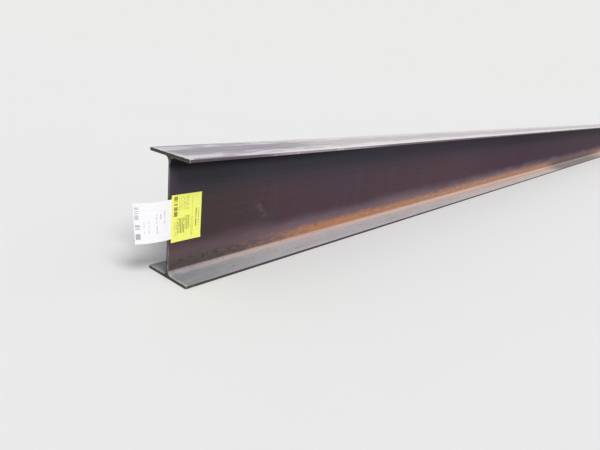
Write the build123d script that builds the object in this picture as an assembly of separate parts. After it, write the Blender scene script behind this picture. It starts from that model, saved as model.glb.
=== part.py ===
from build123d import *
from math import degrees, radians, sin
import os

# Rolled beam: parallel flanges, rounded roots, both ends cut square
beam_length = 12000.0
section_depth = 298.0
flange_width = 149.0
web_thickness = 5.5
flange_thickness = 8.0
root_radius = 13.0
toe_radius = 1.5

# Yellow sticker on one web face, beside one cut end
label_width = 83.5
label_height = 114.0
label_thickness = 0.2
label_setback = 7.0
label_below_mid = 4.0

# White card tag, held by the sticker's edge, that runs past the cut end and curls back
tag_height = 95.0
tag_thickness = 0.3
tag_lap_under_label = 12.0
tag_flat_past_end = 5.0
tag_curl_length = 72.0
tag_curl_radius = 120.0
tag_droop_angle = 2.6

# Where the sticker steps down from the tag to the web
label_step_clearance = 1.0
label_step_run = 2.0

# Places that follow from the sizes above
near_end_x = -beam_length / 2
web_face_y = -web_thickness / 2
label_near_x = near_end_x + label_setback
label_far_x = label_near_x + label_width
label_mid_z = section_depth / 2 - label_below_mid
tag_face_y = web_face_y - tag_thickness
tag_hidden_x = label_near_x + tag_lap_under_label
tag_edge_lean = tag_height / 2 * sin(radians(tag_droop_angle))


def rolled_beam():
    """One rolled solid: the I outline drawn across the web, run the whole length."""
    with BuildPart() as beam:
        with BuildSketch(Plane.YZ) as section:
            flange_mid = flange_thickness / 2
            with Locations((0, flange_mid), (0, section_depth - flange_mid)):
                Rectangle(flange_width, flange_thickness)
            with Locations((0, section_depth / 2)):
                Rectangle(web_thickness, section_depth - flange_thickness)
            roots = [v for v in section.vertices() if abs(v.X) < flange_width / 4]
            fillet(roots, root_radius)
            toes = [v for v in section.vertices() if abs(v.X) > flange_width / 4]
            fillet(toes, toe_radius)
        extrude(amount=beam_length / 2, both=True)
    return beam.part


def sticker():
    """A thin sheet on the web that rises over the tag's hidden edge."""
    step_start_x = tag_hidden_x + tag_edge_lean + label_step_clearance
    step_end_x = step_start_x + label_step_run
    back = [
        (label_near_x, tag_face_y),
        (step_start_x, tag_face_y),
        (step_end_x, web_face_y),
        (label_far_x, web_face_y),
    ]
    front = [(x, y - label_thickness) for x, y in reversed(back)]
    with BuildPart() as label:
        with BuildSketch(Plane.XY.offset(label_mid_z - label_height / 2)):
            with BuildLine():
                Polyline(*back, *front, close=True)
            make_face()
        extrude(amount=label_height)
    return label.part


def card_tag():
    """A thin card, flat on the web and past its end, then curled back on an arc."""
    curl_start_x = near_end_x - tag_flat_past_end
    curl_angle = degrees(tag_curl_length / tag_curl_radius)
    outer_radius = tag_curl_radius + tag_thickness
    with BuildPart() as tag:
        with BuildSketch(Plane.XY.offset(-tag_height / 2)):
            with BuildLine():
                inner = Line((tag_hidden_x, web_face_y), (curl_start_x, web_face_y))
                inner_curl = JernArc(inner @ 1, inner % 1, tag_curl_radius, -curl_angle)
                outer = Line((tag_hidden_x, tag_face_y), (curl_start_x, tag_face_y))
                outer_curl = JernArc(outer @ 1, outer % 1, outer_radius, -curl_angle)
                Line(inner @ 0, outer @ 0)
                Line(inner_curl @ 1, outer_curl @ 1)
            make_face()
        extrude(amount=tag_height)
    web_end = Axis((near_end_x, 0, 0), (0, 1, 0))
    return Pos(0, 0, label_mid_z) * tag.part.rotate(web_end, -tag_droop_angle)


os.makedirs("parts", exist_ok=True)
export_step(rolled_beam(), "parts/beam.step")
export_step(sticker(), "parts/yellow_label.step")
export_step(card_tag(), "parts/white_tag.step")
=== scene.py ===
"""Looks for a rolled steel I-beam with a printed sticker and a card tag at one cut end.

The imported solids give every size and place. The bar is swept again with the worn
arrises of its cut ends, rust crust and loose scale are scattered along its lower
roots, and the sticker and the tag are thin closed sheets with their own print. All
lengths are metres unless a name ends in _mm.
"""
import logging
import math
from dataclasses import dataclass, field
from enum import Enum
from typing import Any

import bmesh
import bpy
from mathutils import Matrix, Vector


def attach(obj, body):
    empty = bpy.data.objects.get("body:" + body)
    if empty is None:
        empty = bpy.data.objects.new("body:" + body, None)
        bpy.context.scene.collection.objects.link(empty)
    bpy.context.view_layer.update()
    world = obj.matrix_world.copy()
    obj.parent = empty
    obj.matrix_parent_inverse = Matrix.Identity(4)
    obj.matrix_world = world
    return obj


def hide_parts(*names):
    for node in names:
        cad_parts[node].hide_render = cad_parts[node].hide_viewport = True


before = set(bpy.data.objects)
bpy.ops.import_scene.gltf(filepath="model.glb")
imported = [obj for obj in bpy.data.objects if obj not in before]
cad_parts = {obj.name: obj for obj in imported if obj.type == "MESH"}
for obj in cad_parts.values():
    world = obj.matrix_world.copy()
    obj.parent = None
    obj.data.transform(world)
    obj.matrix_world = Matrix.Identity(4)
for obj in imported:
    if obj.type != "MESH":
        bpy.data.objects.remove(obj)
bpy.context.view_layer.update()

log = logging.getLogger("steel_beam")

FULL_TURN = 2 * math.pi
MM_PER_METRE = 1000.0

Tree = bpy.types.NodeTree
Socket = bpy.types.NodeSocket
Colour = tuple[float, float, float, float]
Span = tuple[float, float]
Triple = tuple[float, float, float]

# Shift of a pattern along each axis for one step of its seed.
SEED_WAYS = (1.0, 0.7, 1.3)
NOISE_ROUGHNESS = 0.55

# Shares of a normal along an axis, between which a face comes to count as facing it.
LEVEL_FACES = (0.45, 0.92)
UPRIGHT_FACES = (0.72, 0.98)

# Seed shifts of the lots that scattered bits draw for size, shape and turn.
SIZE_LOT, SHAPE_LOT, TURN_LOT = 5, 6, 7
# Share of the bar's length that loose bits keep to.
SCATTER_LENGTH = 0.9995

SOCKET_TYPES = {
    int: "NodeSocketInt",
    float: "NodeSocketFloat",
    bpy.types.Material: "NodeSocketMaterial",
}


class Kind(Enum):
    """The nodes used here: type, inputs in the order they are given, output, settings."""

    POINT = ("ShaderNodeTexCoord", (), "Object")
    FACING = ("ShaderNodeTexCoord", (), "Normal")
    SHEET_MAP = ("ShaderNodeUVMap",)
    RAYS = ("ShaderNodeLightPath",)
    SPLIT = ("ShaderNodeSeparateXYZ", (0,))
    JOIN = ("ShaderNodeCombineXYZ", (0, 1, 2))
    PLUS = ("ShaderNodeMath", (0, 1), 0, {"operation": "ADD"})
    MINUS = ("ShaderNodeMath", (0, 1), 0, {"operation": "SUBTRACT"})
    TIMES = ("ShaderNodeMath", (0, 1), 0, {"operation": "MULTIPLY"})
    OVER = ("ShaderNodeMath", (0, 1), 0, {"operation": "DIVIDE"})
    POWER = ("ShaderNodeMath", (0, 1), 0, {"operation": "POWER"})
    LARGEST = ("ShaderNodeMath", (0, 1), 0, {"operation": "MAXIMUM"})
    ABOVE = ("ShaderNodeMath", (0, 1), 0, {"operation": "GREATER_THAN"})
    BELOW = ("ShaderNodeMath", (0, 1), 0, {"operation": "LESS_THAN"})
    UNSIGNED = ("ShaderNodeMath", (0,), 0, {"operation": "ABSOLUTE"})
    SIGN = ("ShaderNodeMath", (0,), 0, {"operation": "SIGN"})
    FLOOR = ("ShaderNodeMath", (0,), 0, {"operation": "FLOOR"})
    FRACTION = ("ShaderNodeMath", (0,), 0, {"operation": "FRACT"})
    SINE = ("ShaderNodeMath", (0,), 0, {"operation": "SINE"})
    COSINE = ("ShaderNodeMath", (0,), 0, {"operation": "COSINE"})
    STRETCH = ("ShaderNodeVectorMath", (0, 1), 0, {"operation": "MULTIPLY"})
    SCALE = ("ShaderNodeVectorMath", (0, "Scale"), 0, {"operation": "SCALE"})
    CROSS = ("ShaderNodeVectorMath", (0, 1), 0, {"operation": "CROSS_PRODUCT"})
    REMAP = ("ShaderNodeMapRange", ("Value", "From Min", "From Max", "To Min", "To Max"))
    STEP = ("ShaderNodeMapRange", ("Value", "From Min", "From Max"), 0,
            {"interpolation_type": "SMOOTHSTEP"})
    LEVEL = ("ShaderNodeMix", (0, 2, 3), 0, {"data_type": "FLOAT"})
    LAYER = ("ShaderNodeMix", (0, 6, 7), 2, {"data_type": "RGBA"})
    TURN = ("ShaderNodeMapping", ("Vector", "Location", "Rotation", "Scale"))
    NOISE = ("ShaderNodeTexNoise", ("Vector", "Scale", "Detail", "Roughness"))
    LOT = ("ShaderNodeTexWhiteNoise", (0,))
    BUMP = ("ShaderNodeBump", ("Height", "Strength", "Distance"))
    GLOW = ("ShaderNodeBackground", ("Color", "Strength"))
    EITHER = ("ShaderNodeMixShader", (0, 1, 2))
    WORLD = ("ShaderNodeOutputWorld", ("Surface",))
    GIVEN = ("NodeGroupInput",)
    RESULT = ("NodeGroupOutput", (0,))
    READ = ("GeometryNodeInputNamedAttribute", ("Name",), 0, {"data_type": "FLOAT"})
    READ_VECTOR = ("GeometryNodeInputNamedAttribute", ("Name",), 0,
                   {"data_type": "FLOAT_VECTOR"})
    STORE_VECTOR = ("GeometryNodeStoreNamedAttribute", ("Geometry", "Name", "Value"), 0,
                    {"data_type": "FLOAT_VECTOR", "domain": "POINT"})
    POSITION = ("GeometryNodeInputPosition",)
    NORMAL = ("GeometryNodeInputNormal",)
    TANGENT = ("GeometryNodeInputTangent",)
    MOVE = ("GeometryNodeSetPosition", ("Geometry", "Selection", "Position", "Offset"))
    TO_CURVE = ("GeometryNodeMeshToCurve", ("Mesh",))
    ROUND = ("GeometryNodeFilletCurve", ("Curve", "Count", "Radius", "Limit Radius"), 0,
             {"mode": "POLY"})
    LINE = ("GeometryNodeCurvePrimitiveLine", ("Start", "End"))
    DIVIDE = ("GeometryNodeResampleCurve", ("Curve", "Count"), 0, {"mode": "COUNT"})
    SWEEP = ("GeometryNodeCurveToMesh", ("Curve", "Profile Curve", "Fill Caps"))
    NUMBER_LOT = ("FunctionNodeRandomValue", (2, 3, 8), 1, {"data_type": "FLOAT"})
    VECTOR_LOT = ("FunctionNodeRandomValue", (0, 1, 8), 0, {"data_type": "FLOAT_VECTOR"})
    POINTS = ("GeometryNodePoints", ("Count", "Position"))
    CRUMB = ("GeometryNodeMeshIcoSphere", ("Radius", "Subdivisions"))
    CHIP = ("GeometryNodeMeshCylinder", ("Vertices", "Radius", "Depth"), "Mesh")
    SCATTER = ("GeometryNodeInstanceOnPoints", ("Points", "Instance", "Rotation", "Scale"))
    REALIZE = ("GeometryNodeRealizeInstances", (0,))
    DRESS = ("GeometryNodeSetMaterial", ("Geometry", "Selection", "Material"))

    def __init__(self, node: str, inputs: tuple[int | str, ...] = (),
                 output: int | str = 0, settings: dict[str, Any] | None = None) -> None:
        """Keep the four parts under their own names.

        Args:
            node: The node's type.
            inputs: Numbers or names of the inputs, in the order their values are given.
            output: Number or name of the output to hand on.
            settings: Properties of the node.
        """
        self.node = node
        self.inputs = inputs
        self.output = output
        self.settings = settings or {}


def linear(hex_colour: str) -> Colour:
    """Turn an sRGB hex colour into the linear colour that shaders want.

    Args:
        hex_colour: Six hex digits, with or without a leading #.

    Returns:
        Linear red, green, blue and an alpha of 1.
    """
    digits = hex_colour.lstrip("#")
    channels = [int(digits[i:i + 2], 16) / 255 for i in (0, 2, 4)]
    made = [c / 12.92 if c <= 0.04045 else ((c + 0.055) / 1.055) ** 2.4 for c in channels]
    return (made[0], made[1], made[2], 1.0)


def per_metre(size_mm: float) -> float:
    """Texture scale at which one feature is size_mm wide."""
    return MM_PER_METRE / size_mm


def feed(tree: Tree, target: Socket, value: Any) -> None:
    """Link a socket into an input, or set the input's own value; None leaves it.

    Args:
        tree: The tree that holds the input.
        target: The input.
        value: A socket, a hex colour, a number, a vector or None.
    """
    if isinstance(value, bpy.types.NodeSocket):
        tree.links.new(value, target)
    elif isinstance(value, str) and value.startswith("#"):
        target.default_value = linear(value)
    elif value is not None:
        target.default_value = value


def add(tree: Tree, kind: Kind, *values: Any, **settings: Any) -> Socket:
    """Add one node with its settings, and link or set its inputs.

    Args:
        tree: The tree that gets the node.
        kind: Which node, and how it is set.
        *values: What each input gets, in the kind's order. Values past the last input
            go to a further node of the kind, which takes this one's output first.
        **settings: Properties beyond the kind's own.

    Returns:
        The kind's output, or the first input of a node that has no output.
    """
    made = tree.nodes.new(kind.node)
    for name, value in {**kind.settings, **settings}.items():
        setattr(made, name, value)
    for key, value in zip(kind.inputs, values):
        feed(tree, made.inputs[key], value)
    if not made.outputs:
        return made.inputs[0]
    spare = values[len(kind.inputs):]
    result = made.outputs[kind.output]
    return add(tree, kind, result, *spare) if spare else result


def laid_over(tree: Tree, colour: Socket | str, *layers: tuple[Socket | float, Any]) -> Socket:
    """Colours laid over a first one, each by its own mask.

    Args:
        tree: The tree to build in.
        colour: The lowest colour, a socket or a hex colour.
        *layers: Pairs of a mask, where 1 covers, and the colour that covers.

    Returns:
        The layered colour.
    """
    for mask, cover in layers:
        colour = add(tree, Kind.LAYER, mask, colour, cover)
    return colour


def wandered(tree: Tree, value: Socket, mask: Socket, spread: float) -> Socket:
    """Disturb a value by a mask, evenly to both sides.

    Args:
        tree: The tree to build in.
        value: The value, such as a height.
        mask: What disturbs it, 0 to 1.
        spread: The whole width of the disturbance.

    Returns:
        The disturbed value.
    """
    centred = add(tree, Kind.MINUS, mask, 0.5)
    return add(tree, Kind.PLUS, value, add(tree, Kind.TIMES, centred, spread))


@dataclass(frozen=True)
class Mottle:
    """A cloudy pattern with the real size of its patches.

    Attributes:
        size_mm: Patch size along the bar, across it and up it.
        low: Noise value that becomes 0.
        high: Noise value that becomes 1.
        detail: How many finer layers the noise has.
        seed: Shift that makes one pattern unlike the next.
    """

    size_mm: Triple
    low: float
    high: float
    detail: float = 4.0
    seed: float = 0.0

    def mask(self, tree: Tree, point: Socket) -> Socket:
        """Lay the pattern over a surface.

        Args:
            tree: The tree to build in.
            point: Object coordinates.

        Returns:
            The mask, 0 to 1.
        """
        moved = add(tree, Kind.TURN, point, tuple(self.seed * way for way in SEED_WAYS), None,
                    tuple(per_metre(size) for size in self.size_mm))
        noise = add(tree, Kind.NOISE, moved, 1.0, self.detail, NOISE_ROUGHNESS)
        return add(tree, Kind.STEP, noise, self.low, self.high)


@dataclass(frozen=True)
class RolledSection:
    """Sizes of the rolled section."""

    length: float = 12.0
    depth: float = 0.298
    width: float = 0.149
    web: float = 0.0055
    flange: float = 0.008
    root: float = 0.013
    toe: float = 0.0015


@dataclass(frozen=True)
class SteelMap:
    """Where the shader is on the bar, as sockets that the steel finish shares.

    Attributes:
        tree: The material's tree.
        point: Object coordinates.
        from_cut: Distance from the nearer of the two cut ends.
        across: Distance from the web's middle plane.
        side: The same with its sign, which is negative on the labelled side.
        height: Height above the underside.
        rise: Upward share of the surface's normal.
        up: Mask of the faces that look up.
        down: Mask of the faces that look down.
        outward: Mask of the faces that look away from the web.
    """

    tree: Tree
    point: Socket
    from_cut: Socket
    across: Socket
    side: Socket
    height: Socket
    rise: Socket
    up: Socket
    down: Socket
    outward: Socket

    @classmethod
    def read(cls, tree: Tree, bar: RolledSection) -> "SteelMap":
        """Work the places out from Object coordinates and the object-space normal.

        Args:
            tree: The material's tree.
            bar: The sizes of the rolled section.

        Returns:
            The sockets.
        """
        point = add(tree, Kind.POINT)
        place = add(tree, Kind.SPLIT, point).node.outputs
        normal = add(tree, Kind.SPLIT, add(tree, Kind.FACING)).node.outputs
        return cls(
            tree=tree,
            point=point,
            from_cut=add(tree, Kind.MINUS, bar.length / 2,
                         add(tree, Kind.UNSIGNED, place[0])),
            across=add(tree, Kind.UNSIGNED, place[1]),
            side=place[1],
            height=place[2],
            rise=normal[2],
            up=add(tree, Kind.STEP, normal[2], *LEVEL_FACES),
            down=add(tree, Kind.STEP, normal[2], *(-share for share in LEVEL_FACES)),
            outward=add(tree, Kind.STEP, add(tree, Kind.UNSIGNED, normal[1]),
                        *UPRIGHT_FACES),
        )

    def along(self, span: Span) -> Socket:
        """Mask that rises over a span of distances from the nearer cut end."""
        return add(self.tree, Kind.STEP, self.from_cut, *span)

    def between(self, heights: Span) -> Socket:
        """Mask that rises over a span of heights."""
        return add(self.tree, Kind.STEP, self.height, *heights)

    def cloud(self, pattern: Mottle) -> Socket:
        """Mask of a cloudy pattern."""
        return pattern.mask(self.tree, self.point)


@dataclass(frozen=True)
class Finish:
    """A surface finish, made as one procedural material."""

    name: str

    def material(self) -> bpy.types.Material:
        """Build the material from what the finish gives each input of its shader.

        Returns:
            The finished material.
        """
        made = bpy.data.materials.new(self.name)
        made.use_nodes = True
        shader = made.node_tree.nodes["Principled BSDF"]
        for label, value in self.looks(made.node_tree).items():
            feed(made.node_tree, shader.inputs[label], value)
        return made

    def looks(self, tree: Tree) -> dict[str, Any]:
        """Socket or plain value for each shader input that the finish sets."""
        raise NotImplementedError


@dataclass(frozen=True)
class RubMark:
    """A pale rub on the web: the middle of the stroke, its lean, length and width."""

    x: float = -5.706
    z: float = 0.126
    lean_degrees: float = -42.0
    length: float = 0.1
    width: float = 0.03
    strength: float = 0.065
    broken: Mottle = Mottle((16.0, 16.0, 12.0), 0.4, 0.66, 4.0, 21.0)
    broken_levels: Span = (0.3, 1.7)


@dataclass(frozen=True)
class HotRolledScale(Finish):
    """Hot-rolled structural steel with its mill scale, weathered outdoors.

    The eye gets a dark oxide skin, purple-brown in the open web, with fine grain drawn
    out along the rolling direction. The web under the upper flange is painted darker
    and bluer as that flange's shade, with a painted shadow strip right under the flange,
    and faces that look down are painted in shade.
    Upward faces hold pale dust with a painted sheen that pales along the bar, and rain
    has left a ragged rust band on the foot of the web: dark and olive by both cut ends,
    orange further on.

    A span is two distances from the nearer cut end, or two heights or places across
    where its name says so. What it governs is absent at the first and full at the second.
    """

    name: str = "hot_rolled_mill_scale_steel"
    bar: RolledSection = RolledSection()

    # Oxide grain is near 0.3 mm and pits near 1 mm: both are drawn coarser, to show.
    grain: Mottle = Mottle((4.16, 2.6, 2.6), 0.3, 0.72, 3.0, 3.1)
    rolled: Mottle = Mottle((900.0, 9.0, 9.0), 0.3, 0.7, 3.0, 5.7)
    pits: Mottle = Mottle((5.0, 5.0, 5.0), 0.62, 0.74, 2.0, 9.9)
    grain_light: Span = (0.88, 1.1)
    rolled_light: Span = (0.96, 1.03)
    rolled_relief: float = 0.6
    pit_relief: float = -1.5
    relief_depth: float = 0.0003
    relief_strength: float = 0.35
    gloss: float = 0.05
    roughness_side: float = 0.68
    roughness_up: float = 0.78
    roughness_rust: float = 0.92
    roughness_bare: float = 0.35
    bare_metal: float = 0.5

    # Painted shadow: a dark strip on the web right under the upper flange, strongest by the cut
    # ends.
    flange_shadow_dark: str = "#232024"
    # Painted shade: the web's oxide under the upper flange, drawn darker and bluer, changing along
    # the bar.
    shaded_web_blue: str = "#434148"
    shaded_web_mid: str = "#4b4952"
    shaded_web_far: str = "#4d4550"
    shaded_web_distant: str = "#423b41"
    web_near: str = "#473a3b"
    web_far: str = "#4e3d46"
    web_distant: str = "#443340"
    web_warm: str = "#523a3b"
    web_foot: str = "#77636a"
    web_clouds: Mottle = Mottle((260.0, 200.0, 110.0), 0.25, 0.75, 4.0, 1.3)
    web_wander: float = 0.02
    web_far_span: Span = (0.1, 0.45)
    web_distant_span: Span = (1.4, 2.4)
    warm_clouds: Mottle = Mottle((300.0, 200.0, 160.0), 0.45, 0.75, 3.0, 8.2)
    warm_heights: Span = (0.26, 0.18)
    warm_share: float = 0.45
    web_runs: Mottle = Mottle((34.0, 200.0, 600.0), 0.46, 0.7, 3.0, 2.4)
    runs_share: float = 0.3
    shaded_heights: Span = (0.165, 0.25)
    shaded_mid_span: Span = (0.12, 0.3)
    shaded_far_span: Span = (0.7, 1.2)
    shaded_distant_span: Span = (1.5, 2.6)
    # Heights of the painted shadow strip under the upper flange, and how it fades along the bar.
    flange_shadow_heights: Span = (0.248, 0.274)
    flange_shadow_span: Span = (0.15, 1.0)
    flange_shadow_levels: Span = (1.0, 0.22)
    foot_heights: Span = (0.1, 0.045)
    foot_span: Span = (0.05, 0.42)
    foot_levels: Span = (0.48, 1.0)
    rub: RubMark = RubMark()
    rub_tone: str = "#d9c6c4"

    soot: str = "#584f4d"
    soot_dark: str = "#3e3c38"
    soot_olive: str = "#6b6452"
    ragged_clumps: Mottle = Mottle((24.0, 14.0, 11.0), 0.2, 0.8, 4.0, 12.3)
    ragged_runs: Mottle = Mottle((9.0, 60.0, 70.0), 0.2, 0.8, 3.0, 16.9)
    runs_weight: float = 0.55
    ragged_by: float = 0.012
    begins: Mottle = Mottle((26.0, 10.0, 9.0), 0.25, 0.75, 3.0, 15.1)
    soot_span: Span = (0.36, 0.1)
    soot_spread: float = 0.12
    soot_heights: Span = (0.052, 0.039)
    soot_share: float = 0.9
    spotted_heights: Span = (0.022, 0.032)
    spots_dark: Mottle = Mottle((18.0, 9.0, 9.0), 0.42, 0.64, 3.0, 19.0)
    spots_olive: Mottle = Mottle((20.0, 9.0, 8.0), 0.48, 0.66, 3.0, 27.0)
    spots_share: float = 0.55

    rust_orange: str = "#be8463"
    rust_ochre: str = "#9c7b5b"
    rust_young: str = "#8f745a"
    rust_far: str = "#b88e7a"
    rust_dulled: str = "#72625b"
    rust_span: Span = (0.17, 0.58)
    rust_spread: float = 0.26
    rust_full: float = 0.031
    rust_fades: Span = (0.025, 0.038)
    rust_fades_over: Span = (1.0, 2.4)
    rust_steepness: Span = (0.6, 0.2)
    rust_share: float = 0.94
    rust_far_span: Span = (0.6, 1.6)
    young_span: Span = (0.5, 0.25)
    young_share: float = 0.8
    ochre_clumps: Mottle = Mottle((40.0, 12.0, 12.0), 0.4, 0.65, 5.0, 11.7)
    ochre_heights: Span = (0.034, 0.056)
    ochre_share: float = 0.7
    dulled_start: Span = (3.1, 3.5)
    dulled_end: Span = (5.5, 4.5)

    ledge_near: str = "#8b8c91"
    ledge_mid: str = "#c0bbbd"
    # The lower flange's face pales along the bar: dust with a painted sheen.
    ledge_far: str = "#d8cac4"
    ledge_peach: str = "#ccafa1"
    # The smudge colour also paints shade on the root's curve.
    ledge_smudge_and_shade: str = "#8b868a"
    ledge_pale: str = "#d3d8de"
    ledge_dulled: str = "#9b918d"
    ledge_mid_span: Span = (-0.08, 0.42)
    ledge_far_span: Span = (0.6, 2.4)
    ledge_rise: Span = (0.03, 0.45)
    peach_widths: Span = (0.016, 0.036)
    peach_widens: Span = (0.7, 2.2)
    peach_span: Span = (-0.15, 0.45)
    peach_edge: Span = (1.0, 0.4)
    peach_share: float = 0.9
    smudges: Mottle = Mottle((120.0, 26.0, 26.0), 0.35, 0.75, 6.0, 6.6)
    smudge_share: float = 0.22
    pale_patches: Mottle = Mottle((34.0, 10.0, 10.0), 0.46, 0.66, 4.0, 36.0)
    pale_share: float = 0.12
    root_shade_rise: Span = (0.25, 0.5)
    root_shade_end: Span = (0.998, 0.95)
    root_shade_span: Span = (1.1, 0.4)
    root_shade_share: float = 0.24

    # The upper face's pale colour is dust with a painted sheen, paler along the bar.
    top_inner: str = "#9f9ea3"
    top_inner_far: str = "#d0cbcc"
    top_outer: str = "#dbd6db"
    top_outer_far: str = "#ede6e6"
    top_smear: str = "#9f95a0"
    rim_dull: str = "#8f8a90"
    rim_pale: str = "#f6f0f2"
    top_heights: Span = (0.27, 0.28)
    top_clouds: Mottle = Mottle((160.0, 60.0, 60.0), 0.3, 0.7, 4.0, 14.4)
    top_wander: float = 0.02
    outer_across: Span = (0.024, 0.044)
    inner_far_span: Span = (0.24, 0.62)
    outer_far_span: Span = (0.25, 0.7)
    smears: Mottle = Mottle((80.0, 16.0, 40.0), 0.41, 0.57, 6.0, 4.4)
    smears_start: Span = (0.02, 0.16)
    smears_end: Span = (0.7, 0.2)
    smears_levels: Span = (0.12, 0.8)
    brushed: Mottle = Mottle((300.0, 6.0, 40.0), 0.35, 0.7, 4.0, 7.5)
    brushed_share: float = 0.25
    rim_across: Span = (0.062, 0.069)
    rim_share: float = 0.8
    rim_dull_span: Span = (0.2, 0.1)
    rim_pale_start: Span = (0.14, 0.28)
    rim_pale_end: Span = (1.0, 0.65)

    # Bare steel, made whiter and strongest on the top face and the labelled side: partly real
    # wear, partly a painted highlight.
    rubbed: str = "#e4e2e0"
    bare_patches: Mottle = Mottle((12.0, 9.0, 9.0), 0.3, 0.6, 4.0, 17.0)
    bare_reach: Span = (0.006, 0.022)
    bare_edge: Span = (1.0, 0.4)
    bare_low_reach: float = 0.45
    bare_low_share: float = 0.45
    bare_sides: Span = (-0.05, 0.03)
    bare_shares: Span = (0.85, 0.35)
    knocked: str = "#96867f"
    knocked_spots: Mottle = Mottle((8.0, 8.0, 12.0), 0.44, 0.64, 2.0, 33.0)
    knocked_reach: Span = (0.0036, 0.0016)
    knocked_heights: Span = (0.15, 0.09)
    knocked_share: float = 0.8

    # Painted shade on the faces that look down.
    underside_shade: str = "#3d383b"
    edge_near: str = "#5b5155"
    edge_brown: str = "#72666b"
    edge_low: str = "#4d4347"
    edge_pale: str = "#9d9296"
    edge_across: Span = (0.45, 0.48)
    edge_brown_span: Span = (0.06, 0.35)
    edge_low_heights: Span = (0.1, 0.05)
    edge_pale_start: Span = (0.2, 0.31)
    edge_pale_end: Span = (0.85, 0.6)
    chafes: Mottle = Mottle((34.0, 30.0, 30.0), 0.63, 0.7, 4.0, 30.2)
    chafe_across: Span = (0.485, 0.495)
    chafe_heights: Span = (0.1, 0.2)
    chafe_levels: Span = (0.12, 0.5)

    def looks(self, tree: Tree) -> dict[str, Any]:
        """Lay the colours in the order in which the bar got them, then the relief.

        Args:
            tree: The material's tree.

        Returns:
            Socket or plain value for each shader input.
        """
        at = SteelMap.read(tree, self.bar)
        grain, rolled, pits = map(at.cloud, (self.grain, self.rolled, self.pits))
        rust = self._rust(at)
        bare = self._bare(at)
        colour = self._sooted(at, self._web(at))
        colour = laid_over(tree, colour, (rust, self._rust_colour(at)),
                           (self._knocked(at), self.knocked))
        colour = self._top(at, self._ledges(at, colour))
        colour = laid_over(tree, colour,
                           # Painted shade on the downward faces, then the outer faces and the
                           # chafes.
                           (at.down, self.underside_shade),
                           (self._edges(at), self._edge_colour(at)),
                           (self._chafe(at), self.rub_tone))
        light = add(tree, Kind.TIMES, add(tree, Kind.LEVEL, grain, *self.grain_light),
                    add(tree, Kind.LEVEL, rolled, *self.rolled_light))
        dull = add(tree, Kind.LEVEL, at.up, self.roughness_side, self.roughness_up)
        dull = add(tree, Kind.LEVEL, rust, dull, self.roughness_rust)
        relief = add(tree, Kind.PLUS, grain,
                     add(tree, Kind.TIMES, rolled, self.rolled_relief),
                     add(tree, Kind.TIMES, pits, self.pit_relief))
        return {
            "Base Color": laid_over(tree, add(tree, Kind.SCALE, colour, light),
                                    (bare, self.rubbed)),
            "Roughness": add(tree, Kind.LEVEL, bare, dull, self.roughness_bare),
            "Metallic": add(tree, Kind.TIMES, bare, self.bare_metal),
            "Specular IOR Level": self.gloss,
            "Normal": add(tree, Kind.BUMP, relief, self.relief_strength,
                          self.relief_depth),
        }

    def _web(self, at: SteelMap) -> Socket:
        """Colour the web, from painted shade under the top flange to the lighter foot.

        Args:
            at: Where the shader is on the bar.

        Returns:
            The web's colour.
        """
        tree = at.tree
        height = wandered(tree, at.height, at.cloud(self.web_clouds), self.web_wander)
        # Painted shade of the upper flange on the web: darker and bluer, changing along the bar.
        shaded_web = laid_over(tree, self.shaded_web_blue,
                            (at.along(self.shaded_mid_span), self.shaded_web_mid),
                            (at.along(self.shaded_far_span), self.shaded_web_far),
                            (at.along(self.shaded_distant_span), self.shaded_web_distant))
        warm = add(tree, Kind.TIMES, at.cloud(self.warm_clouds),
                   add(tree, Kind.STEP, height, *self.warm_heights), self.warm_share)
        # Painted shadow strip right under the upper flange.
        flange_shadow = add(tree, Kind.TIMES, at.between(self.flange_shadow_heights), add(
            tree, Kind.LEVEL, at.along(self.flange_shadow_span), *self.flange_shadow_levels))
        foot = add(tree, Kind.TIMES, add(tree, Kind.STEP, height, *self.foot_heights), add(
            tree, Kind.LEVEL, at.along(self.foot_span), *self.foot_levels))
        return laid_over(tree, self.web_near,
                         (at.along(self.web_far_span), self.web_far),
                         (at.along(self.web_distant_span), self.web_distant),
                         (warm, self.web_warm),
                         (add(tree, Kind.STEP, height, *self.shaded_heights), shaded_web),
                         # Streaks down the web in the same shaded colour.
                         (add(tree, Kind.TIMES, at.cloud(self.web_runs), self.runs_share),
                          shaded_web),
                         (flange_shadow, self.flange_shadow_dark),
                         (foot, self.web_foot),
                         (self._rub(at), self.rub_tone))

    def _rub(self, at: SteelMap) -> Socket:
        """Find the slanting rub on the labelled side of the web.

        Args:
            at: Where the shader is on the bar.

        Returns:
            The rub's mask.
        """
        tree, mark = at.tree, self.rub
        moved = add(tree, Kind.TURN, at.point, (-mark.x, 0.0, -mark.z))
        turned = add(tree, Kind.TURN, moved, None,
                     (0.0, math.radians(-mark.lean_degrees), 0.0))
        offset = add(tree, Kind.SPLIT, turned).node.outputs
        beside, beyond = (add(tree, Kind.UNSIGNED, offset[axis]) for axis in (0, 2))
        return add(tree, Kind.TIMES,
                   add(tree, Kind.STEP, beside, mark.width / 2, 0.0),
                   add(tree, Kind.STEP, beyond, mark.length / 2, 0.0),
                   add(tree, Kind.LEVEL, at.cloud(mark.broken), *mark.broken_levels),
                   add(tree, Kind.BELOW, at.side, 0.0), mark.strength)

    def _ragged_height(self, at: SteelMap) -> Socket:
        """Disturb the height up the web by clumps and by runs down it.

        Args:
            at: Where the shader is on the bar.

        Returns:
            The disturbed height.
        """
        tree = at.tree
        runs = add(tree, Kind.TIMES, at.cloud(self.ragged_runs), self.runs_weight)
        both = add(tree, Kind.PLUS, at.cloud(self.ragged_clumps), runs,
                   -(1 + self.runs_weight) / 2)
        return add(tree, Kind.PLUS, at.height, add(tree, Kind.TIMES, both, self.ragged_by))

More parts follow.
